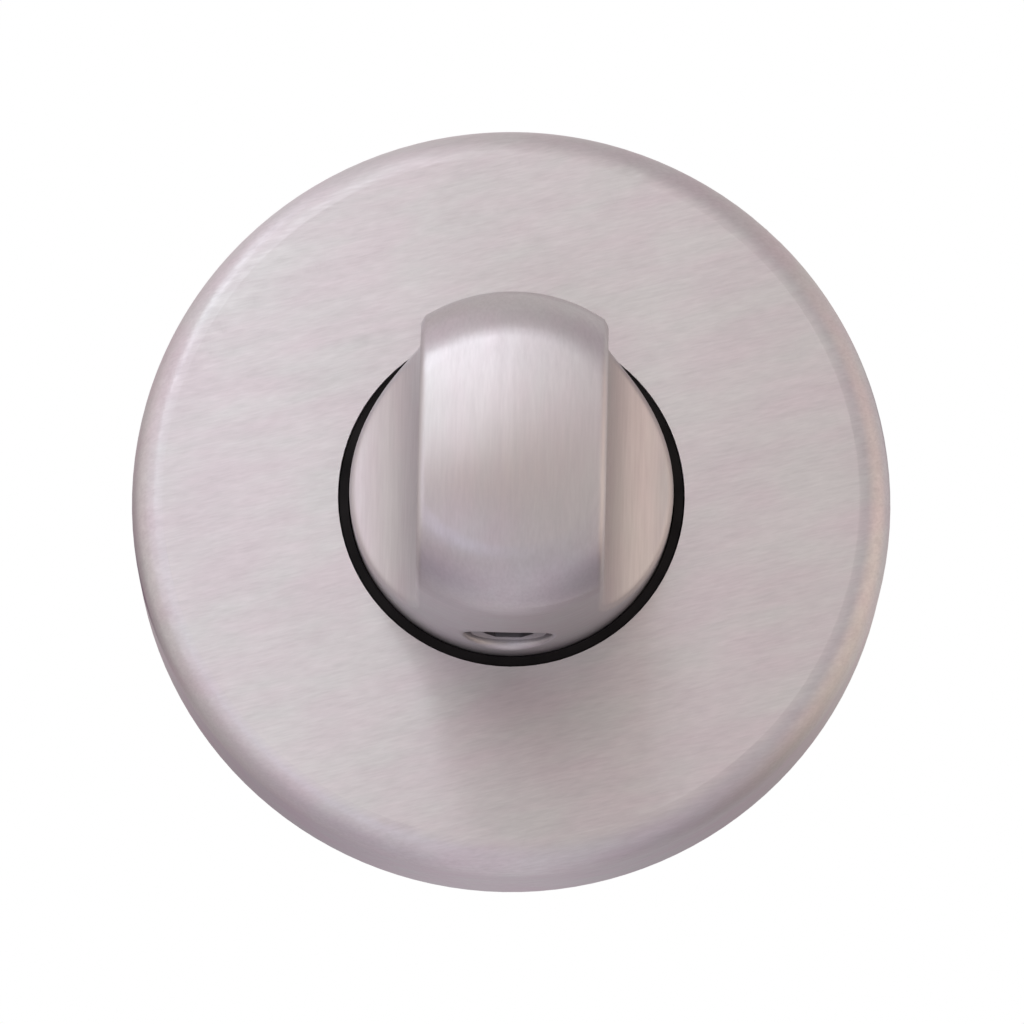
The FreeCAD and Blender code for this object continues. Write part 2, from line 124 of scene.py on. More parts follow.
class NodeSheet:
    """A node tree that is filled in node by node."""

    def __init__(self, tree: bpy.types.NodeTree) -> None:
        """Takes the tree and empties it."""
        self.tree = tree
        tree.nodes.clear()

    def add(self, kind: str, **settings: object) -> bpy.types.Node:
        """Adds a shader node.

        Args:
            kind: Name of the node type, without its prefix.
            settings: Properties that are set on the node.

        Returns:
            The new node.
        """
        node = self.tree.nodes.new("ShaderNode" + kind)
        for name, value in settings.items():
            setattr(node, name, value)
        return node

    def feed(self, socket: Socket, value: Feed) -> None:
        """Links another socket into a socket, or sets its value.

        Args:
            socket: The input that is fed.
            value: The other socket, or a number, vector or colour.
        """
        if isinstance(value, Socket):
            self.tree.links.new(value, socket)
        else:
            socket.default_value = value

    def math(self, operation: str, first: Feed, second: Feed = 0.0) -> Socket:
        """Adds a Math node.

        Args:
            operation: What it works out.
            first: Its first number.
            second: Its second number.

        Returns:
            The result.
        """
        node = self.add("Math", operation=operation)
        self.feed(node.inputs[0], first)
        self.feed(node.inputs[1], second)
        return node.outputs[0]

    def vector_math(self, operation: str, first: Feed, second: Feed = NOTHING,
                    result: str = "Vector") -> Socket:
        """Adds a Vector Math node.

        Args:
            operation: What it works out.
            first: Its first vector.
            second: Its second vector.
            result: Which output holds the result, Vector or Value.

        Returns:
            The result.
        """
        node = self.add("VectorMath", operation=operation)
        self.feed(node.inputs[0], first)
        self.feed(node.inputs[1], second)
        return node.outputs[result]

    def separate(self, vector: Feed) -> tuple[Socket, ...]:
        """Adds a Separate XYZ node.

        Args:
            vector: The vector that is taken apart.

        Returns:
            Its three numbers.
        """
        node = self.add("SeparateXYZ")
        self.feed(node.inputs["Vector"], vector)
        return tuple(node.outputs)

    def combine(self, *numbers: Feed) -> Socket:
        """Adds a Combine XYZ node.

        Args:
            numbers: The three numbers.

        Returns:
            The vector that they make.
        """
        node = self.add("CombineXYZ")
        for socket, number in zip(node.inputs, numbers):
            self.feed(socket, number)
        return node.outputs["Vector"]

    def noise(self, vector: Feed, scale: Feed, detail: float, roughness: float = 0.5) -> Socket:
        """Adds a Noise Texture.

        Args:
            vector: Where it is read.
            scale: How many lumps it has in a metre.
            detail: How many finer sizes it adds.
            roughness: How strong the finer sizes are.

        Returns:
            Its value, from 0 to 1.
        """
        node = self.add("TexNoise")
        self.feed(node.inputs["Vector"], vector)
        self.feed(node.inputs["Scale"], scale)
        self.feed(node.inputs["Detail"], detail)
        self.feed(node.inputs["Roughness"], roughness)
        return node.outputs["Fac"]

    def spread(self, value: Feed, low: Feed, high: Feed, to_low: Feed = 0.0,
               to_high: Feed = 1.0, soft: bool = False) -> Socket:
        """Adds a clamped Map Range node.

        Args:
            value: The number that is mapped.
            low: Where its range starts.
            high: Where its range ends.
            to_low: Result at the start.
            to_high: Result at the end.
            soft: Whether the result eases in and out.

        Returns:
            The result.
        """
        node = self.add("MapRange", interpolation_type="SMOOTHSTEP" if soft else "LINEAR")
        for name, item in (("Value", value), ("From Min", low), ("From Max", high),
                           ("To Min", to_low), ("To Max", to_high)):
            self.feed(node.inputs[name], item)
        return node.outputs["Result"]

    def mix(self, kind: MixKind, share: Feed, first: Feed, second: Feed) -> Socket:
        """Adds a Mix node.

        Args:
            kind: What it mixes.
            share: Share of the second in the result.
            first: First value, vector or colour.
            second: Second value, vector or colour.

        Returns:
            The mixture.
        """
        data_type, first_place, second_place, result_place = kind.value
        node = self.add("Mix", data_type=data_type)
        self.feed(node.inputs["Factor"], share)
        self.feed(node.inputs[first_place], first)
        self.feed(node.inputs[second_place], second)
        return node.outputs[result_place]

    def mix_shaders(self, share: Feed, first: Socket, second: Socket) -> Socket:
        """Adds a Mix Shader node.

        Args:
            share: Share of the second shader.
            first: First shader.
            second: Second shader.

        Returns:
            The mixture.
        """
        node = self.add("MixShader")
        for socket, value in zip(node.inputs, (share, first, second)):
            self.feed(socket, value)
        return node.outputs["Shader"]

    def bump(self, height: Feed, depth: float, normal: Optional[Socket] = None) -> Socket:
        """Adds a Bump node.

        Args:
            height: Height of the relief, from 0 to 1.
            depth: Depth of the relief in metres.
            normal: Normal that the relief is laid on, or None for the surface's own.

        Returns:
            The bumped normal.
        """
        node = self.add("Bump")
        self.feed(node.inputs["Height"], height)
        self.feed(node.inputs["Distance"], depth)
        if normal is not None:
            self.feed(node.inputs["Normal"], normal)
        return node.outputs["Normal"]

    def turned_coordinates(self, turn: Triple) -> Socket:
        """Adds object coordinates in metres, turned about the origin.

        Args:
            turn: Euler angles in radians.

        Returns:
            The turned coordinates.
        """
        mapping = self.add("Mapping")
        self.feed(mapping.inputs["Vector"], self.add("TexCoord").outputs["Object"])
        self.feed(mapping.inputs["Rotation"], turn)
        return mapping.outputs["Vector"]


class Effect:
    """A shader node group with named inputs and outputs, built once, placed in many materials."""

    def __init__(self, name: str, inputs: dict[str, SocketKind],
                 outputs: dict[str, SocketKind]) -> None:
        """Makes the empty group with its sockets.

        Args:
            name: Name of the group.
            inputs: Kinds of the inputs by name.
            outputs: Kinds of the outputs by name.
        """
        self.tree = bpy.data.node_groups.new(name, "ShaderNodeTree")
        for in_out, sockets in (("INPUT", inputs), ("OUTPUT", outputs)):
            for socket, kind in sockets.items():
                self.tree.interface.new_socket(socket, in_out=in_out, socket_type=kind.value)
        self.sheet = NodeSheet(self.tree)
        self.given = self.tree.nodes.new("NodeGroupInput").outputs
        self.result = self.tree.nodes.new("NodeGroupOutput").inputs

    def place(self, sheet: NodeSheet, **values: Feed) -> dict[str, Socket]:
        """Places the group in a material.

        Args:
            sheet: The material's sheet.
            values: Values or sockets for the inputs, with _ for a space in a name.

        Returns:
            The outputs by name.
        """
        node = sheet.add("Group", node_tree=self.tree)
        for name, value in values.items():
            sheet.feed(node.inputs[name.replace("_", " ")], value)
        return {socket.name: socket for socket in node.outputs}


class Effects:
    """All the effects that the finishes share."""

    NOISE_LOW = 0.3
    NOISE_HIGH = 0.7

    def __init__(self) -> None:
        """Builds each effect once."""
        self.grain = self.brushed_grain()
        self.lathe = self.lathe_lines()
        self.scuffs = self.fine_scuffs()
        self.skin = self.cast_skin()

    @staticmethod
    def brushed_grain() -> Effect:
        """Builds short fine lines along X, with clouds of light and smaller clouds of tint.

        Returns:
            The effect.
        """
        broad_share, broad_size = 0.3, 0.3
        tint_stretch, tint_size = (0.35, 1.0, 1.0), 3.0
        tint_low, tint_high = 0.35, 0.65
        effect = Effect("brushed_grain", {
            "Vector": SocketKind.VECTOR,
            "Lines per metre": SocketKind.NUMBER,
            "Stretch": SocketKind.NUMBER,
            "Cloud scale": SocketKind.NUMBER,
        }, {
            "Lines": SocketKind.NUMBER,
            "Clouds": SocketKind.NUMBER,
            "Tint": SocketKind.NUMBER,
        })
        sheet, given = effect.sheet, effect.given
        x, y, z = sheet.separate(given["Vector"])
        squeezed = sheet.combine(sheet.math("DIVIDE", x, given["Stretch"]), y, z)
        fine = sheet.noise(squeezed, given["Lines per metre"], detail=2.0, roughness=0.6)
        broad_scale = sheet.math("MULTIPLY", given["Lines per metre"], broad_size)
        broad = sheet.noise(squeezed, broad_scale, detail=1.0)
        lines = sheet.mix(MixKind.VALUE, broad_share, fine, broad)
        clouds = sheet.noise(given["Vector"], given["Cloud scale"], detail=2.0)
        drawn = sheet.vector_math("MULTIPLY", given["Vector"], tint_stretch)
        tint_scale = sheet.math("MULTIPLY", given["Cloud scale"], tint_size)
        tint = sheet.noise(drawn, tint_scale, detail=2.0, roughness=0.6)
        for name, value, low, high in (
                ("Lines", lines, Effects.NOISE_LOW, Effects.NOISE_HIGH),
                ("Clouds", clouds, Effects.NOISE_LOW, Effects.NOISE_HIGH),
                ("Tint", tint, tint_low, tint_high)):
            sheet.feed(effect.result[name], sheet.spread(value, low, high))
        return effect

    @staticmethod
    def lathe_lines() -> Effect:
        """Builds fine lines round the axis of the turn, as a lathe leaves them.

        Returns:
            The effect.
        """
        step_along_axis = 1.7
        effect = Effect("lathe_lines", {
            "Vector": SocketKind.VECTOR,
            "Lines per metre": SocketKind.NUMBER,
            "Stretch": SocketKind.NUMBER,
        }, {"Lines": SocketKind.NUMBER})
        sheet, given = effect.sheet, effect.given
        x, y, z = sheet.separate(given["Vector"])
        outward = sheet.vector_math("MULTIPLY", given["Vector"], OFF_THE_AXIS)
        radius = sheet.vector_math("LENGTH", outward, result="Value")
        wound = sheet.combine(
            sheet.math("DIVIDE", x, given["Stretch"]),
            sheet.math("ADD", radius, sheet.math("MULTIPLY", y, step_along_axis)),
            sheet.math("DIVIDE", z, given["Stretch"]))
        lines = sheet.noise(wound, given["Lines per metre"], detail=2.0, roughness=0.6)
        sheet.feed(effect.result["Lines"],
                   sheet.spread(lines, Effects.NOISE_LOW, Effects.NOISE_HIGH))
        return effect

    @staticmethod
    def fine_scuffs() -> Effect:
        """Builds sparse short scratches, as handling leaves them.

        Returns:
            The effect.
        """
        scratch_stretch, scratch_size, half_width = (1.0, 1.0, 0.12), 4.0, 0.012
        bare_below, full_above = 0.62, 0.7
        effect = Effect("fine_scuffs", {
            "Vector": SocketKind.VECTOR,
            "Scale": SocketKind.NUMBER,
            "Amount": SocketKind.NUMBER,
        }, {"Mask": SocketKind.NUMBER})
        sheet, given = effect.sheet, effect.given
        stretched = sheet.vector_math("MULTIPLY", given["Vector"], scratch_stretch)
        scratch_scale = sheet.math("MULTIPLY", given["Scale"], scratch_size)
        lines = sheet.noise(stretched, scratch_scale, detail=1.0)
        off_line = sheet.math("ABSOLUTE", sheet.math("SUBTRACT", lines, 0.5))
        thin = sheet.spread(off_line, half_width, 0.0)
        where = sheet.noise(given["Vector"], given["Scale"], detail=1.0)
        some = sheet.spread(where, bare_below, full_above)
        mask = sheet.math("MULTIPLY", sheet.math("MULTIPLY", thin, some), given["Amount"])
        sheet.feed(effect.result["Mask"], mask)
        return effect

    @staticmethod
    def cast_skin() -> Effect:
        """Builds the fine pits and soft lumps of a casting or a moulding.

        Returns:
            The effect.
        """
        lump_share, lump_size = 0.4, 0.1
        effect = Effect("cast_skin", {
            "Vector": SocketKind.VECTOR,
            "Pits per metre": SocketKind.NUMBER,
        }, {
            "Height": SocketKind.NUMBER,
            "Tone": SocketKind.NUMBER,
        })
        sheet, given = effect.sheet, effect.given
        pits = sheet.noise(given["Vector"], given["Pits per metre"], detail=3.0, roughness=0.6)
        lump_scale = sheet.math("MULTIPLY", given["Pits per metre"], lump_size)
        lumps = sheet.noise(given["Vector"], lump_scale, detail=2.0)
        sheet.feed(effect.result["Height"], sheet.mix(MixKind.VALUE, lump_share, pits, lumps))
        sheet.feed(effect.result["Tone"],
                   sheet.spread(lumps, Effects.NOISE_LOW, Effects.NOISE_HIGH))
        return effect


# Finishes


class PlainMaterial:
    """A new material with a Principled shader on its output."""

    def __init__(self, name: str) -> None:
        """Makes the material with its sheet, shader and output.

        Args:
            name: Name of the material.
        """
        self.material = bpy.data.materials.new(name)
        self.material.use_nodes = True
        self.sheet = NodeSheet(self.material.node_tree)
        self.shader = self.sheet.add("BsdfPrincipled")
        self.output = self.sheet.add("OutputMaterial")
        self.sheet.feed(self.output.inputs["Surface"], self.shader.outputs["BSDF"])

    def feed(self, name: str, value: Feed) -> None:
        """Feeds an input of the shader."""
        self.sheet.feed(self.shader.inputs[name], value)


@dataclass(frozen=True)
class BrushedMetal:
    """Brushed, drawn or satin metal with fine lines, faint clouds and a few scuffs."""

    name: str
    dark: Colour
    light: Colour
    roughness: float
    roughness_swing: float
    lines_per_metre: float
    stretch: float
    grain_turn: Triple
    grain_axis: Triple
    anisotropy: float
    line_depth: float
    scuff_amount: float
    scuff_scale: float = 300.0
    cloud_scale: float = 120.0
    cloud_share: float = 0.25
    cool_tint: Triple = (0.996, 1.018, 1.008)
    warm_tint: Triple = (1.004, 0.982, 0.992)
    edge_radius: float = 0.0
    edge_samples: int = 6
    end_way_size: float = 0.003
    way: GrainWay = GrainWay.STRAIGHT
    flank_radius: float = 0.0
    flank_start: float = 0.97
    flank_full: float = 0.995

    def build(self, effects: Effects) -> bpy.types.Material:
        """Builds the material.

        Args:
            effects: The shared node groups.

        Returns:
            The finished material.
        """
        plain = PlainMaterial(self.name)
        sheet = plain.sheet
        place = sheet.turned_coordinates(self.grain_turn)
        normal = sheet.add("NewGeometry").outputs["Normal"]
        grain = effects.grain.place(sheet, Vector=place, Lines_per_metre=self.lines_per_metre,
                                    Stretch=self.stretch, Cloud_scale=self.cloud_scale)
        lines, across = grain["Lines"], self.across_straight(sheet, normal)
        if self.way is GrainWay.TURNED_FLANK:
            spot = sheet.turned_coordinates(NOTHING)
            outward = sheet.vector_math("MULTIPLY", spot, OFF_THE_AXIS)
            flank = self.flank(sheet, outward)
            lathe = effects.lathe.place(sheet, Vector=spot, Stretch=self.stretch,
                                        Lines_per_metre=self.lines_per_metre)
            lines = sheet.mix(MixKind.VALUE, flank, lines, lathe["Lines"])
            across = sheet.mix(MixKind.VECTOR, flank, across,
                               self.across_turned(sheet, normal, outward))
        scuffs = effects.scuffs.place(sheet, Vector=place, Scale=self.scuff_scale,
                                      Amount=self.scuff_amount)["Mask"]
        tone = sheet.mix(MixKind.VALUE, self.cloud_share, lines, grain["Clouds"])
        metal = sheet.mix(MixKind.COLOUR, sheet.math("SUBTRACT", tone, scuffs),
                          self.dark, self.light)
        tint = sheet.mix(MixKind.VECTOR, grain["Tint"], self.cool_tint, self.warm_tint)
        rough = sheet.spread(lines, 0.0, 1.0, self.roughness + self.roughness_swing,
                             self.roughness - self.roughness_swing)
        plain.feed("Base Color", sheet.vector_math("MULTIPLY", metal, tint))
        plain.feed("Metallic", 1.0)
        plain.feed("Roughness", sheet.math("ADD", rough, scuffs))
        plain.feed("Anisotropic", self.anisotropy)
        plain.feed("Tangent", across)
        plain.feed("Normal", sheet.bump(lines, self.line_depth, self.rounded_edge(sheet)))
        return plain.material

    def across_straight(self, sheet: NodeSheet, normal: Socket) -> Socket:
        """Finds the way across the straight grain.

        On a face square to the grain that way comes out as nothing, so a way too small to count
        on any other face is added to it.

        Args:
            sheet: The material's sheet.
            normal: The surface's normal.

        Returns:
            The way across the grain.
        """
        small = self.end_way_size
        grain_along_y = abs(self.grain_axis[1]) > 0.5
        end_way = (small, 0.0, 0.0) if grain_along_y else (0.0, small, 0.0)
        across = sheet.vector_math("CROSS_PRODUCT", normal, self.grain_axis)
        return sheet.vector_math("ADD", across, end_way)

    def across_turned(self, sheet: NodeSheet, normal: Socket, outward: Socket) -> Socket:
        """Finds the way across lines that run round the axis of the turn.

        Args:
            sheet: The material's sheet.
            normal: The surface's normal.
            outward: Way out from the axis.

        Returns:
            The way across the lines, of length one.
        """
        around = sheet.vector_math("CROSS_PRODUCT", TURN_AXIS, outward)
        across = sheet.vector_math("CROSS_PRODUCT", normal, around)
        return sheet.vector_math("NORMALIZE", across)

    def flank(self, sheet: NodeSheet, outward: Socket) -> Socket:
        """Masks the outer flank, which a lathe turned.

        Args:
            sheet: The material's sheet.
            outward: Way out from the axis.

        Returns:
            The mask, 1 on the flank.
        """
        radius = sheet.vector_math("LENGTH", outward, result="Value")
        return sheet.spread(radius, self.flank_radius * self.flank_start,
                            self.flank_radius * self.flank_full)

    def rounded_edge(self, sheet: NodeSheet) -> Optional[Socket]:
        """Softens the shading of the edges, where the finish has an edge radius.

        Args:
            sheet: The material's sheet.

        Returns:
            The softened normal, or None for the surface's own.
        """
        if not self.edge_radius:
            return None
        bevel = sheet.add("Bevel", samples=self.edge_samples)
        sheet.feed(bevel.inputs["Radius"], self.edge_radius)
        return bevel.outputs["Normal"]


@dataclass(frozen=True)
class CastOrMoulded:
    """Cast metal or moulded plastic with a finely pitted skin."""

    name: str
    dark: Colour
    light: Colour
    metallic: float
    roughness: float
    pits_per_metre: float
    pit_depth: float
    roughness_swing: float = 0.06
    specular: float = 0.5

    def build(self, effects: Effects) -> bpy.types.Material:
        """Builds the material.

        Args:
            effects: The shared node groups.

        Returns:
            The finished material.
        """
        plain = PlainMaterial(self.name)
        sheet = plain.sheet
        skin = effects.skin.place(sheet, Vector=sheet.turned_coordinates(NOTHING),
                                  Pits_per_metre=self.pits_per_metre)
        rough = sheet.spread(skin["Tone"], 0.0, 1.0, self.roughness + self.roughness_swing,
                             self.roughness - self.roughness_swing)
        plain.feed("Base Color", sheet.mix(MixKind.COLOUR, skin["Tone"], self.dark, self.light))
        plain.feed("Metallic", self.metallic)
        plain.feed("Specular IOR Level", self.specular)
        plain.feed("Roughness", rough)
        plain.feed("Normal", sheet.bump(skin["Height"], self.pit_depth))
        return plain.material


QUARTER = math.radians(90.0)
ROSE_GRAIN_ANGLE = math.radians(15.0)
ROSE_STEEL = BrushedMetal(
    name="rose_brushed_steel",
    dark=(0.575, 0.556, 0.560, 1.0), light=(0.675, 0.655, 0.660, 1.0),
    roughness=0.45, roughness_swing=0.04, lines_per_metre=6000.0, stretch=8.0,
    grain_turn=(0.0, ROSE_GRAIN_ANGLE, 0.0),
    grain_axis=(math.cos(ROSE_GRAIN_ANGLE), 0.0, math.sin(ROSE_GRAIN_ANGLE)),
    anisotropy=0.75, line_depth=0.0000018, scuff_amount=0.05,
    cool_tint=(0.994, 1.027, 1.010), warm_tint=(1.006, 0.973, 0.990))
KNOB_STEEL = BrushedMetal(
    name="knob_satin_steel",
    dark=(0.49, 0.474, 0.478, 1.0), light=(0.56, 0.543, 0.547, 1.0),
    roughness=0.38, roughness_swing=0.03, lines_per_metre=5000.0, stretch=16.0,
    grain_turn=(0.0, QUARTER, 0.0), grain_axis=(0.0, 0.0, 1.0),
    anisotropy=0.5, line_depth=0.0000012, scuff_amount=0.05, edge_radius=0.0005,
    way=GrainWay.TURNED_FLANK, flank_radius=0.01105)
PLATED_STEEL = BrushedMetal(
    name="plated_steel",
    dark=(0.46, 0.47, 0.48, 1.0), light=(0.62, 0.63, 0.64, 1.0),
    roughness=0.28, roughness_swing=0.06, lines_per_metre=3000.0, stretch=14.0,
    grain_turn=(0.0, 0.0, QUARTER), grain_axis=(0.0, 1.0, 0.0),
    anisotropy=0.3, line_depth=0.000004, scuff_amount=0.25)
SPRING_STEEL = BrushedMetal(
    name="blued_spring_steel",
    dark=(0.13, 0.135, 0.15, 1.0), light=(0.22, 0.225, 0.24, 1.0),
    roughness=0.34, roughness_swing=0.05, lines_per_metre=2600.0, stretch=10.0,
    grain_turn=NOTHING, grain_axis=(1.0, 0.0, 0.0),
    anisotropy=0.2, line_depth=0.000003, scuff_amount=0.2)
SCREW_STEEL = BrushedMetal(
    name="grub_screw_steel",
    dark=(0.30, 0.30, 0.32, 1.0), light=(0.46, 0.46, 0.48, 1.0),
    roughness=0.3, roughness_swing=0.05, lines_per_metre=3000.0, stretch=6.0,
    grain_turn=NOTHING, grain_axis=(1.0, 0.0, 0.0),
    anisotropy=0.2, line_depth=0.000003, scuff_amount=0.2)
# The bush's near-black colour and low specular are partly the black nylon's own colour and partly
# painted shade of the narrow gap between the knob and the rose.
BLACK_NYLON_AND_GAP_SHADE = CastOrMoulded(
    name="black_nylon", dark=(0.004, 0.0035, 0.0035, 1.0), light=(0.009, 0.008, 0.008, 1.0),
    metallic=0.0, roughness=0.55, pits_per_metre=3500.0, pit_depth=0.000004, specular=0.12)
CAST_ZINC = CastOrMoulded(
    name="cast_zinc", dark=(0.30, 0.31, 0.32, 1.0), light=(0.46, 0.47, 0.48, 1.0),
    metallic=1.0, roughness=0.5, pits_per_metre=1800.0, pit_depth=0.00002)

FINISHES = {
    Part.COVER: ROSE_STEEL,
    Part.PLATE: CAST_ZINC,
    Part.BUSH: BLACK_NYLON_AND_GAP_SHADE,
    Part.THRUST_WASHER: PLATED_STEEL,
    Part.CLIP_1: SPRING_STEEL,
    Part.CLIP_2: SPRING_STEEL,
    Part.CLIP_3: SPRING_STEEL,
    Part.CLIP_4: SPRING_STEEL,
    Part.BOLTS: PLATED_STEEL,
    Part.TURN: KNOB_STEEL,
    Part.GRUB_SCREW: SCREW_STEEL,
    Part.SPINDLE: PLATED_STEEL,
    Part.SLEEVE: PLATED_STEEL,
    Part.WAVE_WASHER: SPRING_STEEL,
    Part.CIRCLIP: SPRING_STEEL,
}


class Wardrobe:
    """Gives the pieces of the construction model their finishes."""

    def __init__(self, nodes: dict[str, bpy.types.Object]) -> None:
        """Builds the shared effects and takes the pieces.

        Args:
            nodes: The pieces by name.
        """
        self.nodes = nodes
        self.effects = Effects()
        self.made: dict[str, bpy.types.Material] = {}

    def material(self, finish: Union[BrushedMetal, CastOrMoulded]) -> bpy.types.Material:
        """Gives the material of a finish, built when it is first asked for.

        Args:
            finish: The finish.

        Returns:
            Its material.
        """
        if finish.name not in self.made:
            self.made[finish.name] = finish.build(self.effects)
        return self.made[finish.name]

    def dress(self, part: Part) -> None:
        """Puts a part's finish on it.

        Args:
            part: The part.
        """
        for slot in self.nodes[part.value].material_slots:
            slot.material = self.material(FINISHES[part])
        log.info("%s dressed as %s", part.value, FINISHES[part].name)


# Modelled pieces


class Bench:
    """Small modelling steps that the pieces share, each made of Blender's own operators."""

    FACES_THAT_WAY = 0.9

    @staticmethod
    def cylinder(radius: float, start: float, end: float, sides: int) -> bpy.types.Object:
        """Adds a closed cylinder about Y.

        Args:
            radius: Its radius.
            start: Where it starts along Y.
            end: Where it ends along Y.
            sides: How many sides it has.

        Returns:
            The cylinder, with its place in its mesh.
        """
        bpy.ops.object.select_all(action="DESELECT")
        bpy.ops.mesh.primitive_cylinder_add(
            vertices=sides, radius=radius, depth=end - start,
            location=(0.0, (start + end) / 2, 0.0), rotation=(QUARTER, 0.0, 0.0))
        made = bpy.context.object
        Bench.settle(made)
        return made

    @staticmethod
    def block(size: Triple, middle: Triple) -> bpy.types.Object:
        """Adds a block.

        Args:
            size: Its size along X, Y and Z.
            middle: Its middle.

        Returns:
            The block, with its place in its mesh.
        """
        bpy.ops.object.select_all(action="DESELECT")
        bpy.ops.mesh.primitive_cube_add(size=1.0, location=middle)
        made = bpy.context.object
        made.scale = size
        Bench.settle(made)
        return made

    @staticmethod
    def alone(piece: bpy.types.Object) -> None:
        """Makes a piece the only selected one, and active.

        Args:
            piece: The piece.
        """
        bpy.ops.object.select_all(action="DESELECT")
        piece.select_set(True)
        bpy.context.view_layer.objects.active = piece

    @staticmethod
    def settle(piece: bpy.types.Object) -> None:
        """Puts a piece's place, turn and size into its mesh."""
        Bench.alone(piece)
        bpy.ops.object.transform_apply(location=True, rotation=True, scale=True)

    @staticmethod
    def shift(piece: bpy.types.Object, way: Triple) -> None:
        """Moves a piece and puts its new place into its mesh."""
        piece.location = way
        Bench.settle(piece)

    @staticmethod
    def copy(piece: bpy.types.Object) -> bpy.types.Object:
        """Copies a piece with a mesh of its own.

        Args:
            piece: The piece.

        Returns:
            The copy.
        """
        Bench.alone(piece)
        bpy.ops.object.duplicate(linked=False)
        return bpy.context.object

    @staticmethod
    def join(pieces: list[bpy.types.Object], name: str) -> bpy.types.Object:
        """Joins pieces into one.

        Args:
            pieces: The pieces.
            name: Name of the one that comes out.

        Returns:
            The joined piece.
        """
        bpy.ops.object.select_all(action="DESELECT")
        for piece in pieces:
            piece.select_set(True)
        bpy.context.view_layer.objects.active = pieces[0]
        bpy.ops.object.join()
        pieces[0].name = name
        return pieces[0]

    @staticmethod
    def apply(piece: bpy.types.Object) -> None:
        """Applies all of a piece's modifiers.

        Args:
            piece: The piece.
        """
        Bench.alone(piece)
        for modifier in list(piece.modifiers):
            bpy.ops.object.modifier_apply(modifier=modifier.name)

    @staticmethod
    def cut(piece: bpy.types.Object, tool: bpy.types.Object, how: Cut) -> None:
        """Cuts a piece with a tool and clears the tool away.

        Args:
            piece: What is cut.
            tool: The closed shape that cuts it.
            how: Whether the tool's shape is taken away or is all that stays.
        """
        boolean = piece.modifiers.new("cut", "BOOLEAN")
        boolean.operation = how.value
        boolean.solver = "EXACT"
        boolean.object = tool
        Bench.apply(piece)
        Bench.alone(tool)
        bpy.ops.object.delete()

    @staticmethod
    @contextmanager
    def editing(piece: bpy.types.Object) -> Iterator[bmesh.types.BMesh]:
        """Opens a piece in edit mode with nothing selected and closes it again.

        Args:
            piece: The piece.

        Yields:
            Its mesh, as edit mode holds it.
        """
        Bench.alone(piece)
        bpy.ops.object.mode_set(mode="EDIT")
        bpy.ops.mesh.select_all(action="DESELECT")
        yield bmesh.from_edit_mesh(piece.data)
        bpy.ops.object.mode_set(mode="OBJECT")

    @staticmethod
    def pick_side(mesh: bmesh.types.BMesh, side: Side) -> None:
        """Selects only the faces of one side.

        Args:
            mesh: A mesh in edit mode.
            side: The side that they face.
        """
        bpy.ops.mesh.select_all(action="DESELECT")
        bpy.ops.mesh.select_mode(type="FACE")
        for face in mesh.faces:
            face.select_set(face.normal.y * side.value > Bench.FACES_THAT_WAY)
        mesh.select_flush_mode()

    @staticmethod
    def pick_edges(mesh: bmesh.types.BMesh, wanted: Callable[[Vector], bool]) -> None:
        """Selects only the edges with both ends in wanted places.

        Args:
            mesh: A mesh in edit mode.
            wanted: Tells whether a place is wanted.
        """
        bpy.ops.mesh.select_all(action="DESELECT")
        bpy.ops.mesh.select_mode(type="EDGE")
        for edge in mesh.edges:
            edge.select_set(all(wanted(end.co) for end in edge.verts))
        mesh.select_flush_mode()

    @staticmethod
    def finish(piece: bpy.types.Object, angle: float) -> None:
        """Smooths a piece's shading below an angle in degrees."""
        Bench.alone(piece)
        bpy.ops.object.shade_smooth_by_angle(angle=math.radians(angle))


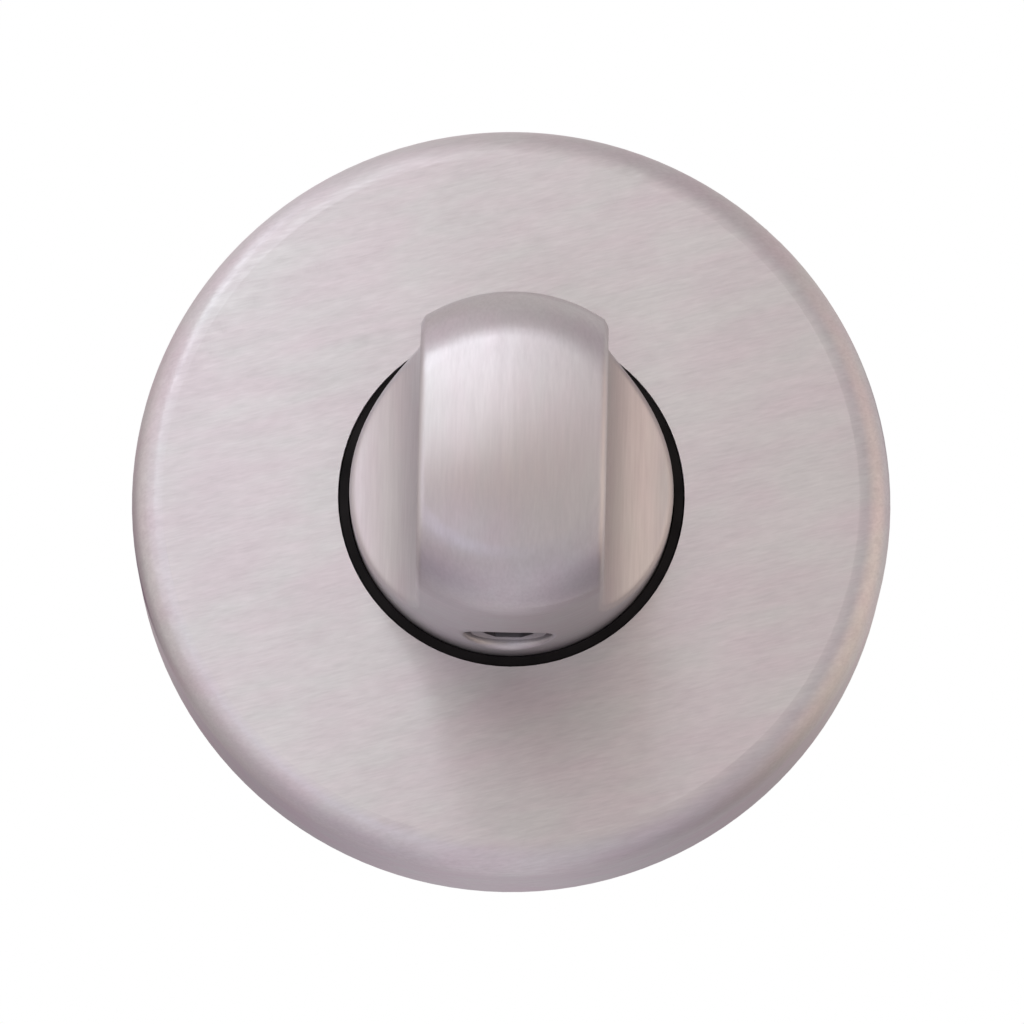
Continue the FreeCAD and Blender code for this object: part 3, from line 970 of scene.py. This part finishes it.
@dataclass
class ThroughBolts:
    """Two pan head machine screws with a cross recess and a cut thread.

    A bolt is modelled about Y, with the top of its head at zero. The ragged first and last
    turns of the swept thread are trimmed off.
    """

    name: str = "through_bolts_cut_thread"
    smooth_angle: float = 35.0
    head_radius: float = 0.004
    head_height: float = 0.0023
    head_edge: float = 0.0008
    head_edge_steps: int = 4
    head_sides: int = 48
    recess_length: float = 0.0044
    recess_width: float = 0.0011
    recess_depth: float = 0.0015
    recess_spare: float = 0.0004
    recess_taper: float = 0.8
    neck_radius: float = 0.00175
    neck_overlap: float = 0.0002
    neck_sides: int = 32
    shank_length: float = 0.014
    length: float = 0.050
    thread_radius: float = 0.002
    thread_depth: float = 0.00043
    pitch: float = 0.0007
    crest_share: float = 0.14
    steps_in_turn: int = 20
    spare_turns: int = 2
    trimmed_turns: float = 1.07
    tip_chamfer: float = 0.0005
    tip_spare: float = 0.0001
    tip_sides: int = 40
    sweep_merge: float = 0.000001
    mesh_merge: float = 0.000005
    trim_merge: float = 0.0000001

    def build(self, wardrobe: Wardrobe) -> None:
        """Models one bolt, sets a copy of it on the other side and dresses the pair.

        Args:
            wardrobe: The finishes and the pieces of the construction model.
        """
        low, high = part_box(Part.BOLTS.value)
        side = (high[0] - low[0]) / 2 - self.head_radius
        bolt = Bench.join([self.head(), self.neck(), self.thread()], self.name)
        Bench.shift(bolt, (side, low[1], 0.0))
        twin = Bench.copy(bolt)
        Bench.shift(twin, (-2.0 * side, 0.0, 0.0))
        pair = Bench.join([bolt, twin], self.name)
        Bench.finish(pair, self.smooth_angle)
        pair.data.materials.append(wardrobe.material(PLATED_STEEL))
        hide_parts(Part.BOLTS.value)
        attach(pair, "rose")
        log.info("%s modelled with %d turns of thread", self.name, self.turns())

    def turns(self) -> int:
        """Whole turns that the thread is swept, with the spare ones that are trimmed off."""
        return int((self.length - self.shank_length) / self.pitch) + self.spare_turns

    def head(self) -> bpy.types.Object:
        """Models the pan head, with a rounded edge and a tapered cross recess.

        Returns:
            The head.
        """
        head = Bench.cylinder(self.head_radius, 0.0, self.head_height, self.head_sides)
        with Bench.editing(head) as mesh:
            Bench.pick_side(mesh, Side.FRONT)
            bpy.ops.mesh.bevel(offset=self.head_edge, segments=self.head_edge_steps,
                               affect="EDGES")
        for turn in (0.0, QUARTER):
            Bench.cut(head, self.recess_arm(turn), Cut.AWAY)
        return head

    def recess_arm(self, turn: float) -> bpy.types.Object:
        """Models one tapered arm of the cross recess.

        Args:
            turn: Angle about the bolt's axis in radians.

        Returns:
            The arm, which stands out of the head a little.
        """
        depth = self.recess_depth + self.recess_spare
        arm = Bench.block((self.recess_length, depth, self.recess_width),
                          (0.0, self.recess_depth - depth / 2, 0.0))
        with Bench.editing(arm) as mesh:
            Bench.pick_side(mesh, Side.BACK)
            floor_length = self.recess_width / self.recess_length
            bpy.ops.transform.resize(value=(floor_length, 1.0, self.recess_taper),
                                     center_override=(0.0, self.recess_depth, 0.0))
        arm.rotation_euler = (0.0, turn, 0.0)
        Bench.settle(arm)
        return arm

    def neck(self) -> bpy.types.Object:
        """Models the plain neck between the head and the thread."""
        return Bench.cylinder(self.neck_radius, self.head_height - self.neck_overlap,
                              self.head_height + self.shank_length + self.neck_overlap,
                              self.neck_sides)

    def thread(self) -> bpy.types.Object:
        """Models the thread, cut all the way to the chamfered tip.

        Returns:
            The thread, in its place below the head.
        """
        thread = self.tooth()
        self.sweep(thread)
        start = self.pitch * self.trimmed_turns
        end = start + self.length - self.shank_length
        self.trim(thread, start, end)
        Bench.cut(thread, self.tip_shape(start - self.pitch, end), Cut.TO_SHAPE)
        Bench.shift(thread, (0.0, self.head_height + self.length - end, 0.0))
        return thread

    def tooth(self) -> bpy.types.Object:
        """Draws the outline of one tooth, open towards the bolt's axis.

        Returns:
            The outline.
        """
        root = self.thread_radius - self.thread_depth
        middle = self.thread_radius - self.thread_depth / 2
        bpy.ops.object.select_all(action="DESELECT")
        bpy.ops.mesh.primitive_plane_add(size=1.0)
        tooth = bpy.context.object
        with Bench.editing(tooth) as mesh:
            bpy.ops.mesh.select_all(action="SELECT")
            bpy.ops.transform.resize(value=(self.thread_depth, self.pitch, 1.0),
                                     center_override=NOTHING)
            bpy.ops.transform.translate(value=(root + self.thread_depth / 2, 0.0, 0.0))
            bpy.ops.mesh.delete(type="ONLY_FACE")
            Bench.pick_edges(mesh, lambda place: place.x < middle)
            bpy.ops.mesh.delete(type="EDGE")
            Bench.pick_edges(mesh, lambda place: place.x > middle)
            bpy.ops.transform.resize(value=(1.0, self.crest_share, 1.0),
                                     center_override=(self.thread_radius, 0.0, 0.0))
        return tooth

    def sweep(self, tooth: bpy.types.Object) -> None:
        """Sweeps the tooth's outline along a screw line about Y.

        Args:
            tooth: The outline, which becomes the thread.
        """
        screw = tooth.modifiers.new("screw_line", "SCREW")
        screw.axis = "Y"
        screw.screw_offset = self.pitch
        screw.iterations = self.turns()
        screw.steps = screw.render_steps = self.steps_in_turn
        screw.use_merge_vertices = True
        screw.merge_threshold = self.sweep_merge
        Bench.apply(tooth)

    def trim(self, thread: bpy.types.Object, start: float, end: float) -> None:
        """Merges the swept thread and closes it with a flat face at either end.

        Args:
            thread: The swept thread.
            start: Where it starts along Y.
            end: Where it ends along Y.
        """
        with Bench.editing(thread):
            bpy.ops.mesh.select_all(action="SELECT")
            bpy.ops.mesh.remove_doubles(threshold=self.mesh_merge)
            for level, at_start in ((start, True), (end, False)):
                bpy.ops.mesh.select_all(action="SELECT")
                bpy.ops.mesh.bisect(plane_co=(0.0, level, 0.0), plane_no=TURN_AXIS,
                                    use_fill=True, clear_inner=at_start,
                                    clear_outer=not at_start, threshold=self.trim_merge)
            bpy.ops.mesh.select_all(action="SELECT")
            bpy.ops.mesh.normals_make_consistent(inside=False)

    def tip_shape(self, start: float, end: float) -> bpy.types.Object:
        """Models a cylinder just wider than the thread, chamfered as the tip is.

        Args:
            start: Where it starts along Y.
            end: Where it ends along Y.

        Returns:
            The cylinder.
        """
        shape = Bench.cylinder(self.thread_radius + self.tip_spare, start, end, self.tip_sides)
        with Bench.editing(shape) as mesh:
            Bench.pick_side(mesh, Side.BACK)
            bpy.ops.mesh.bevel(offset=self.tip_chamfer + self.tip_spare, segments=1,
                               affect="EDGES")
        return shape


# Studio


def around_rose(clock: float, tilt: float) -> Vector:
    """Gives a direction out from the rose.

    Args:
        clock: Degrees clockwise from the top, as the front is seen.
        tilt: Degrees away from straight out of the rose.

    Returns:
        The direction, of length one.
    """
    turn, lean = math.radians(clock), math.radians(tilt)
    return Vector((math.sin(lean) * math.sin(turn), -math.cos(lean),
                   math.sin(lean) * math.cos(turn)))


@dataclass(frozen=True)
class Lamp:
    """Soft square lamp that looks at the rose."""

    name: str
    clock: float
    tilt: float
    distance: float
    side: float
    power: float
    colour: Triple

    def hang(self, target: Vector) -> None:
        """Hangs the lamp at its angles around the target and turns it there.

        Args:
            target: What it looks at.
        """
        away = around_rose(self.clock, self.tilt)
        data = bpy.data.lights.new(self.name, "AREA")
        data.shape = "SQUARE"
        data.size = self.side
        data.energy = self.power
        data.color = self.colour
        holder = bpy.data.objects.new(self.name, data)
        bpy.context.scene.collection.objects.link(holder)
        holder.location = target + away * self.distance
        holder.rotation_euler = away.to_track_quat("Z", "Y").to_euler()
        holder.visible_camera = False
        log.info("%s hung", self.name)


@dataclass(frozen=True)
class SoftPatch:
    """Round patch of the surroundings with a wide soft edge, lighter where shade is below 0."""

    clock: float
    tilt: float
    shade: Triple
    core: float = 5.0
    reach: float = 45.0

    def take_from(self, sheet: NodeSheet, way: Socket, colour: Feed) -> Socket:
        """Takes the patch's shade off the surroundings' colour.

        Args:
            sheet: The world's sheet.
            way: Direction in which the surroundings are seen.
            colour: Colour of the surroundings so far.

        Returns:
            The colour with the shade taken off.
        """
        near = sheet.vector_math("DOT_PRODUCT", way, tuple(around_rose(self.clock, self.tilt)),
                                 result="Value")
        fade = sheet.spread(near, math.cos(math.radians(self.reach)),
                            math.cos(math.radians(self.core)), soft=True)
        return sheet.vector_math("SUBTRACT", colour,
                                 sheet.vector_math("MULTIPLY", fade, self.shade))


LAMPS = (
    Lamp("key_upper_left", clock=315.0, tilt=55.0, distance=0.40, side=0.06, power=0.0904,
         colour=(0.81, 0.93, 1.0)),
    Lamp("key_top", clock=345.0, tilt=40.0, distance=0.40, side=0.06, power=0.0482,
         colour=(0.83, 0.90, 1.0)),
    Lamp("left_softbox", clock=270.0, tilt=45.0, distance=0.40, side=0.20, power=0.109,
         colour=(0.75, 0.79, 1.0)),
    Lamp("lower_left_softbox", clock=225.0, tilt=25.0, distance=0.40, side=0.16, power=0.059,
         colour=(0.52, 0.60, 1.0)),
    Lamp("near_upper_left", clock=315.0, tilt=30.0, distance=0.18, side=0.10, power=0.0404,
         colour=(0.80, 0.89, 1.0)),
    Lamp("near_top", clock=0.0, tilt=30.0, distance=0.18, side=0.10, power=0.0161,
         colour=(0.91, 0.90, 1.0)),
)
PATCHES = (
    SoftPatch(clock=300.0, tilt=25.0, shade=(0.162, 0.239, 0.335)),
    SoftPatch(clock=135.0, tilt=50.0, shade=(0.169, 0.154, 0.125)),
    SoftPatch(clock=45.0, tilt=75.0, shade=(0.184, 0.199, 0.163)),
    SoftPatch(clock=90.0, tilt=75.0, shade=(-0.455, -0.318, -0.203)),
    SoftPatch(clock=225.0, tilt=75.0, shade=(0.165, 0.178, 0.153)),
    SoftPatch(clock=270.0, tilt=75.0, shade=(-0.259, -0.238, -0.210)),
    SoftPatch(clock=315.0, tilt=75.0, shade=(-0.191, -0.128, -0.198)),
    SoftPatch(clock=135.0, tilt=105.0, shade=(0.485, 0.472, 0.475)),
    SoftPatch(clock=225.0, tilt=105.0, shade=(0.260, 0.247, 0.238)),
    SoftPatch(clock=270.0, tilt=140.0, shade=(0.245, 0.266, 0.249)),
    SoftPatch(clock=0.0, tilt=180.0, shade=(0.52, 0.50, 0.46)),
    SoftPatch(clock=180.0, tilt=90.0, shade=(-0.119, -0.104, -0.164), core=3.0, reach=70.0),
)


@dataclass(frozen=True)
class PhotoCamera:
    """Long lens a little below the axis, tilted up at the rose, with the photograph's framing."""

    distance: float = 0.6
    angle_below: float = 11.0
    roll: float = 1.2
    pixels_per_metre: float = 14640.0
    picture_side: int = 1024
    rose_pixel_x: float = 511.0
    rose_pixel_y: float = 495.9
    sensor: float = 36.0

    def build(self, rose_front: Vector) -> None:
        """Makes the camera and makes it the scene's own.

        Args:
            rose_front: Centre of the rose's front face.
        """
        angle = math.radians(self.angle_below)
        look = Vector((0.0, math.cos(angle), math.sin(angle)))
        up = Vector((0.0, -math.sin(angle), math.cos(angle)))
        right = Vector((1.0, 0.0, 0.0))
        off_x = (self.picture_side / 2 - self.rose_pixel_x) / self.pixels_per_metre
        off_y = (self.picture_side / 2 - self.rose_pixel_y) / self.pixels_per_metre
        aim = rose_front + right * off_x - up * off_y
        data = bpy.data.cameras.new("photo_camera")
        data.sensor_width = self.sensor
        data.lens = self.sensor * self.pixels_per_metre * self.distance / self.picture_side
        data.dof.use_dof = False
        camera = bpy.data.objects.new("photo_camera", data)
        bpy.context.scene.collection.objects.link(camera)
        basis = Matrix((right, up, -look)).transposed().to_4x4()
        roll = Matrix.Rotation(math.radians(self.roll), 4, "Z")
        camera.matrix_world = Matrix.Translation(aim - look * self.distance) @ basis @ roll
        bpy.context.scene.camera = camera


@dataclass(frozen=True)
class Studio:
    """Lamps, pale surroundings, floor and camera."""

    world_level: float = 1.0
    open_colour: Triple = (0.76, 0.70, 0.70)
    floor_colour: Colour = (0.80, 0.865, 0.855, 1.0)
    floor_roughness: float = 0.9
    floor_height: float = -0.25
    floor_side: float = 3.0

    def build(self, rose_front: Vector) -> None:
        """Builds all of the studio.

        Args:
            rose_front: Centre of the rose's front face.
        """
        PhotoCamera().build(rose_front)
        self.world()
        self.floor()
        for lamp in LAMPS:
            lamp.hang(rose_front)
        bpy.context.scene.view_settings.view_transform = "Standard"

    def world(self) -> None:
        """Makes the world: white for the camera, and pale with soft patches for all else."""
        world = bpy.data.worlds.new("studio_world")
        bpy.context.scene.world = world
        world.use_nodes = True
        sheet = NodeSheet(world.node_tree)
        way = sheet.add("TexCoord").outputs["Generated"]
        colour: Feed = self.open_colour
        for patch in PATCHES:
            colour = patch.take_from(sheet, way, colour)
        around, white = sheet.add("Background"), sheet.add("Background")
        sheet.feed(around.inputs["Color"], colour)
        sheet.feed(around.inputs["Strength"], self.world_level)
        sheet.feed(white.inputs["Color"], WHITE)
        path = sheet.add("LightPath").outputs
        seen = sheet.math("MAXIMUM", path["Is Camera Ray"], path["Is Transmission Ray"])
        output = sheet.add("OutputWorld")
        sheet.feed(output.inputs["Surface"], sheet.mix_shaders(
            seen, around.outputs["Background"], white.outputs["Background"]))

    def floor(self) -> None:
        """Makes a pale floor far under the rose that is clear from below and unseen in metal."""
        bpy.ops.object.select_all(action="DESELECT")
        bpy.ops.mesh.primitive_plane_add(size=self.floor_side,
                                         location=(0.0, 0.0, self.floor_height))
        floor = bpy.context.object
        floor.name = "studio_floor"
        plain = PlainMaterial("studio_floor")
        plain.feed("Base Color", self.floor_colour)
        plain.feed("Roughness", self.floor_roughness)
        below = plain.sheet.add("NewGeometry").outputs["Backfacing"]
        clear = plain.sheet.add("BsdfTransparent").outputs["BSDF"]
        plain.sheet.feed(plain.output.inputs["Surface"], plain.sheet.mix_shaders(
            below, plain.shader.outputs["BSDF"], clear))
        floor.data.materials.append(plain.material)
        floor.visible_glossy = False
        floor.visible_shadow = False


def main() -> None:
    """Dresses every piece, then builds the studio."""
    logging.basicConfig(level=logging.INFO, format="%(message)s")
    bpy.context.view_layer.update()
    wardrobe = Wardrobe(frame["nodes"])
    for part in Part:
        wardrobe.dress(part)
    ThroughBolts().build(wardrobe)
    cover_low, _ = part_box(Part.COVER.value)
    Studio().build(Vector((0.0, cover_low[1], 0.0)))


if __name__ == "__main__":
    main()
